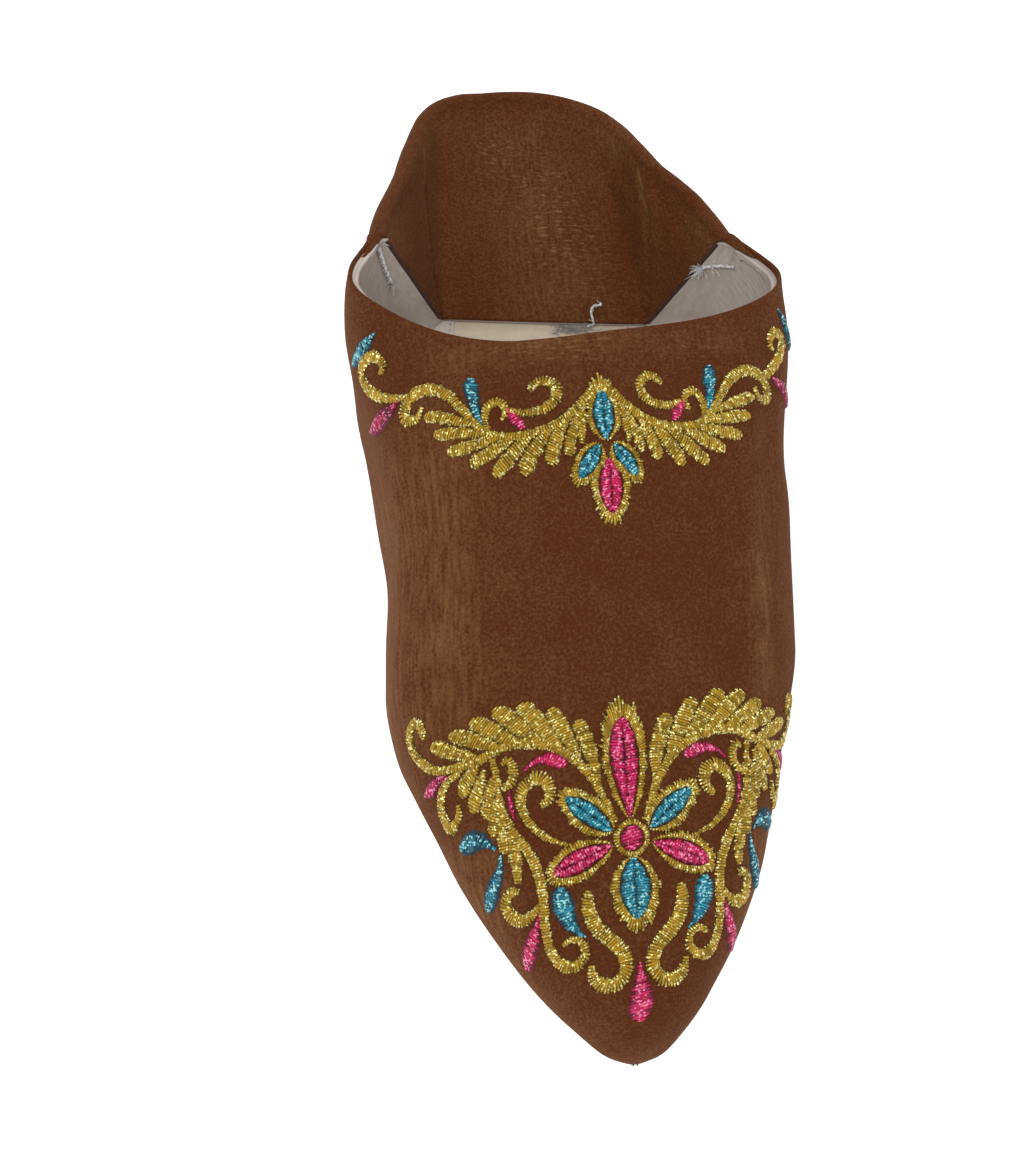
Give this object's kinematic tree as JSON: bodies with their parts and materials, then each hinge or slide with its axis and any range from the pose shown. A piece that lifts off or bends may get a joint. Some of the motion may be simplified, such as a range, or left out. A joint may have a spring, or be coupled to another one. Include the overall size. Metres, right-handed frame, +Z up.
{
  "type": "babouche slipper",
  "caption": "Backless babouche slipper with a pointed toe, a hollow suede upper, a heel piece folded down on the insole, a leather midsole and a thin rubber outsole.",
  "frame": {"origin": "middle of the bounding box on the plane that the sole stands on", "axes": "+Z up from the sole, +Y towards the heel, +X towards the wearer's left"},
  "size_m": [0.1056, 0.264, 0.0645],
  "materials": {
    "suede": "brown suede with a soft nap, matte",
    "sole_leather": "olive-tan cut edge, waxed, low gloss",
    "insole_leather": "cream smooth leather, semi-matte",
    "outsole_rubber": "black rubber sheet, matte"
  },
  "bodies": {
    "root": {"outsole": "outsole_rubber", "midsole": "sole_leather", "insole": "insole_leather", "upper": "suede", "heel_counter": "suede"}
  },
  "joints": []
}
